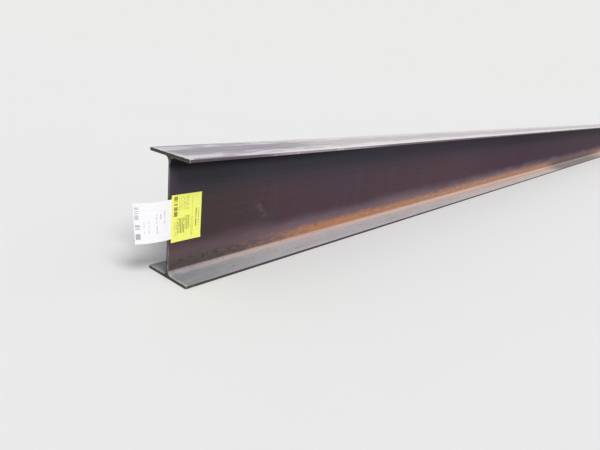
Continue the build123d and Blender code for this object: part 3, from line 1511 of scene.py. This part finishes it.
@dataclass
class RustCrust(GrownPiece):
    """Blisters of rust on the foot of the web and grit in its root, most by the label."""

    name: str = "rust_crust"
    count: int = 6000
    below: float = 0.002
    above: float = 0.038
    crowding: float = 2.9
    start: float = 0.14
    small: float = 0.0004
    large: float = 0.0011
    least_shape: Triple = (0.6, 0.6, 0.45)
    most_shape: Triple = (1.5, 1.0, 1.2)
    seed: int = 7

    def sizes(self) -> dict[str, Any]:
        """Give the root's sizes, the crust's spread and its grains' sizes.

        Returns:
            Value for each named input of the tree.
        """
        return {
            "Count": self.count,
            "Length": self.section.length,
            "Web Thickness": self.section.web,
            "Flange Thickness": self.section.flange,
            "Root Radius": self.section.root,
            "Below": self.below,
            "Above": self.above,
            "Crowding": self.crowding,
            "Smallest": self.small,
            "Largest": self.large,
            "Finish": RustCrumb().material(),
        }

    def wire(self, tree: Tree, given: Any) -> Socket:
        """Lay points on the web's foot and the root's curve, then a lump on each point.

        Args:
            tree: The tree to build in.
            given: The tree's inputs, by name.

        Returns:
            The finished crust.
        """
        points = add(tree, Kind.POINTS, given["Count"], self._spot(tree, given))
        size = add(tree, Kind.NUMBER_LOT, given["Smallest"], given["Largest"],
                   self.seed + SIZE_LOT)
        lump = add(tree, Kind.VECTOR_LOT, self.least_shape, self.most_shape,
                   self.seed + SHAPE_LOT)
        turn = add(tree, Kind.VECTOR_LOT, (0.0, 0.0, 0.0), (FULL_TURN,) * 3,
                   self.seed + TURN_LOT)
        lumps = add(tree, Kind.SCATTER, points, add(tree, Kind.CRUMB, 1.0, 1), turn,
                    add(tree, Kind.SCALE, lump, size))
        return add(tree, Kind.DRESS, add(tree, Kind.REALIZE, lumps), None, given["Finish"])

    def _spot(self, tree: Tree, given: Any) -> Socket:
        """Draw a place on the path down the web, round the root and out on the flange.

        Args:
            tree: The tree to build in.
            given: The tree's inputs, by name.

        Returns:
            The place.
        """
        x = crowded_length(tree, given, self.start, self.seed)
        lots = [add(tree, Kind.NUMBER_LOT, 0.0, 1.0, self.seed + i) for i in (1, 2, 3)]
        centred = add(tree, Kind.PLUS, add(tree, Kind.TIMES, lots[0], 0.5),
                      add(tree, Kind.TIMES, lots[1], 0.5))
        path = add(tree, Kind.LEVEL, centred, add(tree, Kind.TIMES, given["Below"], -1.0),
                   given["Above"])
        radius = given["Root Radius"]
        turned = add(tree, Kind.OVER, path, radius)
        angle = add(tree, Kind.REMAP, turned, math.pi / 4, -math.pi / 4, 0.0, math.pi / 2)
        arc = add(tree, Kind.TIMES, radius, math.pi / 4)
        above = add(tree, Kind.LARGEST, add(tree, Kind.MINUS, path, arc), 0.0)
        beside = add(tree, Kind.LARGEST, add(
            tree, Kind.TIMES, add(tree, Kind.PLUS, path, arc), -1.0), 0.0)
        inward, lift = (add(tree, Kind.TIMES, radius, add(
            tree, Kind.MINUS, 1.0, add(tree, kind, angle))) for kind in (Kind.COSINE, Kind.SINE))
        y = add(tree, Kind.PLUS, inward, beside,
                add(tree, Kind.TIMES, given["Web Thickness"], 0.5))
        side = add(tree, Kind.SIGN, add(tree, Kind.MINUS, lots[2], 0.5))
        return add(tree, Kind.JOIN, x, add(tree, Kind.TIMES, y, side),
                   add(tree, Kind.PLUS, lift, above, given["Flange Thickness"]))


@dataclass
class FallenScale(GrownPiece):
    """Thin chips of mill scale lying on the lower flange's upper faces."""

    name: str = "fallen_scale"
    count: int = 1100
    crowding: float = 2.6
    start: float = 0.12
    small: float = 0.0005
    large: float = 0.0019
    sides: int = 6
    thickness: float = 0.12
    least_shape: Triple = (0.7, 0.35, 1.0)
    most_shape: Triple = (1.6, 1.0, 1.3)
    tilt: float = 0.12
    root_share: float = 0.9
    toe_gap: float = 0.004
    seed: int = 23

    def sizes(self) -> dict[str, Any]:
        """Give where chips may lie, and how large they are.

        Returns:
            Value for each named input of the tree.
        """
        return {
            "Count": self.count,
            "Length": self.section.length,
            "Nearest": self.section.web / 2 + self.section.root * self.root_share,
            "Furthest": self.section.width / 2 - self.toe_gap,
            "Ledge": self.section.flange,
            "Crowding": self.crowding,
            "Smallest": self.small,
            "Largest": self.large,
            "Finish": LooseScale().material(),
        }

    def wire(self, tree: Tree, given: Any) -> Socket:
        """Lay points on the ledges, then a flat chip on each point.

        Args:
            tree: The tree to build in.
            given: The tree's inputs, by name.

        Returns:
            The finished chips.
        """
        x = crowded_length(tree, given, self.start, self.seed)
        lots = [add(tree, Kind.NUMBER_LOT, 0.0, 1.0, self.seed + i) for i in (1, 2)]
        y = add(tree, Kind.LEVEL, add(tree, Kind.POWER, lots[0], 2.0), given["Nearest"],
                given["Furthest"])
        side = add(tree, Kind.SIGN, add(tree, Kind.MINUS, lots[1], 0.5))
        spot = add(tree, Kind.JOIN, x, add(tree, Kind.TIMES, y, side), given["Ledge"])
        chip = add(tree, Kind.CHIP, self.sides, 1.0, self.thickness)
        size = add(tree, Kind.NUMBER_LOT, given["Smallest"], given["Largest"],
                   self.seed + SIZE_LOT)
        shape = add(tree, Kind.VECTOR_LOT, self.least_shape, self.most_shape,
                    self.seed + SHAPE_LOT)
        turn = add(tree, Kind.VECTOR_LOT, (-self.tilt, -self.tilt, 0.0),
                   (self.tilt, self.tilt, FULL_TURN), self.seed + TURN_LOT)
        chips = add(tree, Kind.SCATTER, add(tree, Kind.POINTS, given["Count"], spot), chip,
                    turn, add(tree, Kind.SCALE, shape, size))
        return add(tree, Kind.DRESS, add(tree, Kind.REALIZE, chips), None, given["Finish"])


@dataclass
class PaperSheet:
    """A thin closed sheet whose two faces follow one rule of width, height and depth."""

    name: str
    node: str
    slot: str
    finish: PrintedPaper
    thickness: float
    columns: int
    rows: int
    sharp_angle: float = 40.0

    def place(self, u: float, v: float, proud: float) -> Vector:
        """Find a point of a face of the sheet.

        Args:
            u: Share of the width, from the sheet's left edge as seen.
            v: Share of the height, from the lower edge.
            proud: How far in front of the sheet's back the face is.

        Returns:
            The point.
        """
        raise NotImplementedError

    def build(self) -> bpy.types.Object:
        """Build the sheet's mesh, dress it and put it in place of its solid.

        Returns:
            The finished piece.
        """
        work = bmesh.new()
        layer = work.loops.layers.uv.new(self.finish.uv_map)
        shares = [(i / self.columns, j / self.rows)
                  for j in range(self.rows + 1) for i in range(self.columns + 1)]
        sides = [[work.verts.new(self.place(u, v, proud)) for u, v in shares]
                 for proud in (self.thickness, 0.0)]
        share_of = {vert: share for side in sides for vert, share in zip(side, shares)}
        stride = self.columns + 1
        corners = [j * stride + i for j in range(self.rows) for i in range(self.columns)]
        for side in sides:
            for a in corners:
                work.faces.new([side[k] for k in (a, a + 1, a + stride + 1, a + stride)])
        rim = [*range(stride),
               *(j * stride + self.columns for j in range(1, self.rows + 1)),
               *(self.rows * stride + i for i in range(self.columns - 1, -1, -1)),
               *(j * stride for j in range(self.rows - 1, 0, -1))]
        front, back = sides
        for a, b in zip(rim, rim[1:] + rim[:1]):
            work.faces.new([front[a], front[b], back[b], back[a]])
        for face in work.faces:
            face.smooth = True
            for loop in face.loops:
                loop[layer].uv = share_of[loop.vert]
        bmesh.ops.recalc_face_normals(work, faces=work.faces)
        mesh = bpy.data.meshes.new(self.name)
        work.to_mesh(mesh)
        work.free()
        mesh.set_sharp_from_angle(angle=math.radians(self.sharp_angle))
        mesh.materials.append(self.finish.material())
        return hand_over(self.name, mesh, self.node)


@dataclass
class WebSticker(PaperSheet):
    """The yellow sticker on the web, which steps over the tag's hidden edge."""

    name: str = "web_sticker"
    node: str = "yellow_label"
    slot: str = "yellow_paper"
    thickness: float = 0.0002
    columns: int = 60
    rows: int = 76
    left: float = -5.993
    width: float = 0.0835
    low: float = 0.088
    height: float = 0.114
    web_face: float = -0.00275
    tag_face: float = -0.00305
    step_start: float = -5.9778
    step_run: float = 0.003
    ripple: float = 0.00012
    # Radians that each of two crossing waves gains per metre of X and of Z.
    ripples_along: Span = (410.0, 60.0)
    ripples_up: Span = (-90.0, 330.0)
    corner_lift: float = 0.0009
    corner_reach: float = 0.018
    finish: PrintedPaper = field(default_factory=lambda: PrintedPaper(
        name="yellow_coated_sticker_paper",
        stock="#f6f97a",
        shade="#f0f470",
        ink="#4d4f1f",
        width_mm=83.5,
        height_mm=114.0,
        blocks=(
            PrintBlock(6.5, 16.5, 61.0, 85.0, 1.9, 0.8, bars=True, kept=0.66, dark=0.9, seed=3.0),
            PrintBlock(6.5, 16.5, 89.0, 110.0, 1.9, 0.8, bars=True, kept=0.66, dark=0.9, seed=9.0),
            PrintBlock(20.0, 48.0, 76.0, 108.0, 4.2, 0.38, dash_mm=1.9, kept=0.62, dark=0.5,
                       seed=8.0),
            PrintBlock(17.0, 38.0, 20.0, 57.0, 4.2, 0.46, dash_mm=1.7, kept=0.85, dark=0.85,
                       seed=5.0),
            PrintBlock(38.0, 51.0, 27.0, 62.0, 4.2, 0.46, dash_mm=1.7, kept=0.8, dark=0.75,
                       seed=15.0),
            PrintBlock(8.5, 16.0, 14.0, 50.0, 4.2, 0.4, dash_mm=1.7, kept=0.7, dark=0.5,
                       seed=12.0),
            PrintBlock(52.0, 60.0, 10.0, 56.0, 4.2, 0.36, dash_mm=1.7, kept=0.6, dark=0.45,
                       seed=13.0),
            PrintBlock(62.0, 77.0, 31.0, 76.0, 8.4, 0.36, dash_mm=1.4, kept=0.95, dark=0.75,
                       seed=1.0),
            PrintBlock(57.0, 57.9, 5.0, 108.0, 2.0, 1.0, kept=1.0, dark=0.4),
        ),
    ))

    def place(self, u: float, v: float, proud: float) -> Vector:
        """Find a point of a face that lies on the web, or on the tag beside the cut end.

        Args:
            u: Share of the width, from the sheet's left edge as seen.
            v: Share of the height, from the lower edge.
            proud: How far in front of the sheet's back the face is.

        Returns:
            The point.
        """
        x = self.left + u * self.width
        z = self.low + v * self.height
        share = min(max((x - self.step_start) / self.step_run, 0.0), 1.0)
        eased = share * share * (3 - 2 * share)
        rest = self.tag_face + (self.web_face - self.tag_face) * eased
        wave = math.prod(math.sin(x * by_x + z * by_z)
                         for by_x, by_z in (self.ripples_along, self.ripples_up))
        lifted = self.ripple * max(wave, 0.0)
        from_corner = math.hypot((1 - u) * self.width, v * self.height)
        lifted += self.corner_lift * max(1 - from_corner / self.corner_reach, 0.0) ** 2
        return Vector((x, rest - proud - lifted, z))


@dataclass
class CardTag(PaperSheet):
    """The white card, held under the sticker, that runs past the cut end and curls."""

    name: str = "card_tag"
    node: str = "white_tag"
    slot: str = "white_paper"
    thickness: float = 0.0003
    columns: int = 64
    rows: int = 36
    hidden_edge: float = -5.981
    bar_end: float = -6.0
    flat_past_end: float = 0.005
    curl_length: float = 0.072
    curl_radius: float = 0.12
    height: float = 0.095
    middle: float = 0.145
    droop: float = 2.6
    web_face: float = -0.00275
    bow: float = 0.0008
    twist: float = 0.0035
    finish: PrintedPaper = field(default_factory=lambda: PrintedPaper(
        name="white_coated_card",
        stock="#f6f5f7",
        shade="#f1f0f2",
        ink="#8d8a97",
        width_mm=96.0,
        height_mm=95.0,
        blocks=(
            PrintBlock(2.0, 10.5, 57.0, 85.0, 2.6, 0.85, bars=True, kept=0.6, dark=0.55,
                       seed=4.0),
            PrintBlock(2.5, 12.5, 34.0, 45.0, 2.2, 0.8, bars=True, kept=0.66, dark=0.75,
                       seed=6.0),
            PrintBlock(2.5, 12.5, 11.0, 28.0, 2.2, 0.8, bars=True, kept=0.66, dark=0.9,
                       seed=16.0),
            PrintBlock(20.0, 32.0, 22.0, 54.0, 10.0, 0.2, dash_mm=3.0, kept=0.7, dark=0.35,
                       seed=2.0),
            PrintBlock(40.0, 52.0, 20.0, 66.0, 9.5, 0.22, dash_mm=3.0, kept=0.75, dark=0.5,
                       seed=12.0),
            PrintBlock(56.0, 59.0, 54.0, 66.0, 3.0, 0.7, dash_mm=2.4, kept=0.95, dark=0.7,
                       seed=5.0),
            PrintBlock(66.0, 69.0, 40.0, 72.0, 3.0, 0.7, dash_mm=2.4, kept=0.8, dark=0.5,
                       seed=7.0),
        ),
    ))

    def place(self, u: float, v: float, proud: float) -> Vector:
        """Find a point of a face, before and on the curl.

        Args:
            u: Share of the width, from the sheet's left edge as seen.
            v: Share of the height, from the lower edge.
            proud: How far in front of the sheet's back the face is.

        Returns:
            The point.
        """
        flat_end = self.bar_end - self.flat_past_end
        flat = self.hidden_edge - flat_end
        along = (1 - u) * (flat + self.curl_length)
        curled = max(along - flat, 0.0)
        angle = curled / self.curl_radius
        radius = self.curl_radius + proud
        x = self.hidden_edge - min(along, flat) - radius * math.sin(angle)
        y = self.web_face + self.curl_radius - radius * math.cos(angle)
        free = (curled / self.curl_length) ** 2
        y += free * (self.bow * (1 - (2 * v - 1) ** 2) + self.twist * v)
        z = (v - 0.5) * self.height
        turn = math.radians(self.droop)
        from_end = x - self.bar_end
        x = self.bar_end + from_end * math.cos(turn) - z * math.sin(turn)
        z = self.middle + z * math.cos(turn) + from_end * math.sin(turn)
        return Vector((x, y, z))


@dataclass
class Studio:
    """Pale floor, soft window-like sun, even fill, and a pale background."""

    reach: float = 400.0
    sun_travel: Triple = (0.35, 1.0, -1.15)
    sun_strength: float = 2.12
    sun_softness: float = 24.0
    fill: str = "#f3f6fa"
    fill_strength: float = 0.47
    backdrop: str = "#ebebea"

    def build(self) -> None:
        """Set the floor, the lamp and the world."""
        self._floor()
        self._sun()
        self._world()

    def _floor(self) -> None:
        """A floor that reaches the horizon."""
        mesh = bpy.data.meshes.new("floor")
        r = self.reach
        mesh.from_pydata([(-r, -r, 0), (r, -r, 0), (r, r, 0), (-r, r, 0)], [], [(0, 1, 2, 3)])
        mesh.materials.append(StudioFloor().material())
        floor = bpy.data.objects.new("floor", mesh)
        bpy.context.scene.collection.objects.link(floor)

    def _sun(self) -> None:
        """A broad sun from beyond the labelled end, on the labelled side."""
        lamp = bpy.data.lights.new("soft_sun", "SUN")
        lamp.energy = self.sun_strength
        lamp.angle = math.radians(self.sun_softness)
        holder = bpy.data.objects.new("soft_sun", lamp)
        holder.rotation_euler = Vector(self.sun_travel).to_track_quat("-Z", "Y").to_euler()
        bpy.context.scene.collection.objects.link(holder)

    def _world(self) -> None:
        """Even fill for lighting, and a pale backdrop where it is seen or mirrored."""
        world = bpy.data.worlds.new("pale_studio")
        world.use_nodes = True
        tree = world.node_tree
        tree.nodes.clear()
        rays = add(tree, Kind.RAYS).node.outputs
        seen = add(tree, Kind.LARGEST, rays["Is Camera Ray"], rays["Is Glossy Ray"],
                   rays["Is Transmission Ray"])
        even = add(tree, Kind.GLOW, self.fill, self.fill_strength)
        pale = add(tree, Kind.GLOW, self.backdrop, 1.0)
        add(tree, Kind.WORLD, add(tree, Kind.EITHER, seen, even, pale))
        bpy.context.scene.world = world


@dataclass
class PhotoCamera:
    """The photograph's viewpoint, from the beam's own edges in it."""

    place: Triple = (-6.598, -0.8755, 0.4978)
    heading: float = 39.30
    pitch: float = 17.95
    roll: float = 6.43
    lens_mm: float = 28.52
    sensor_mm: float = 36.0
    nearest: float = 0.01
    furthest: float = 2000.0

    def build(self) -> bpy.types.Object:
        """Set the scene's camera.

        Returns:
            The camera.
        """
        heading, pitch, roll = (math.radians(a) for a in (self.heading, self.pitch, self.roll))
        ahead = Vector((math.cos(heading) * math.cos(pitch), math.sin(heading) * math.cos(pitch),
                        -math.sin(pitch)))
        level = Vector((math.sin(heading), -math.cos(heading), 0.0))
        upright = level.cross(ahead)
        right = level * math.cos(roll) + upright * math.sin(roll)
        up = upright * math.cos(roll) - level * math.sin(roll)
        turn = Matrix((right, up, -ahead)).transposed()
        data = bpy.data.cameras.new("photo_camera")
        data.sensor_fit = "HORIZONTAL"
        data.sensor_width = self.sensor_mm
        data.lens = self.lens_mm
        data.clip_start = self.nearest
        data.clip_end = self.furthest
        camera = bpy.data.objects.new("photo_camera", data)
        camera.matrix_world = Matrix.Translation(self.place) @ turn.to_4x4()
        bpy.context.scene.collection.objects.link(camera)
        bpy.context.scene.camera = camera
        return camera


def main() -> None:
    """Build the studio, the camera and every piece, in order."""
    logging.basicConfig(level=logging.INFO, format="%(name)s: %(message)s")
    bpy.context.scene.view_settings.view_transform = "Standard"
    PhotoCamera().build()
    Studio().build()
    section = RolledSection()
    for piece in (RolledBeam(section), RustCrust(section), FallenScale(section),
                  WebSticker(), CardTag()):
        piece.build()


if __name__ == "__main__":
    main()
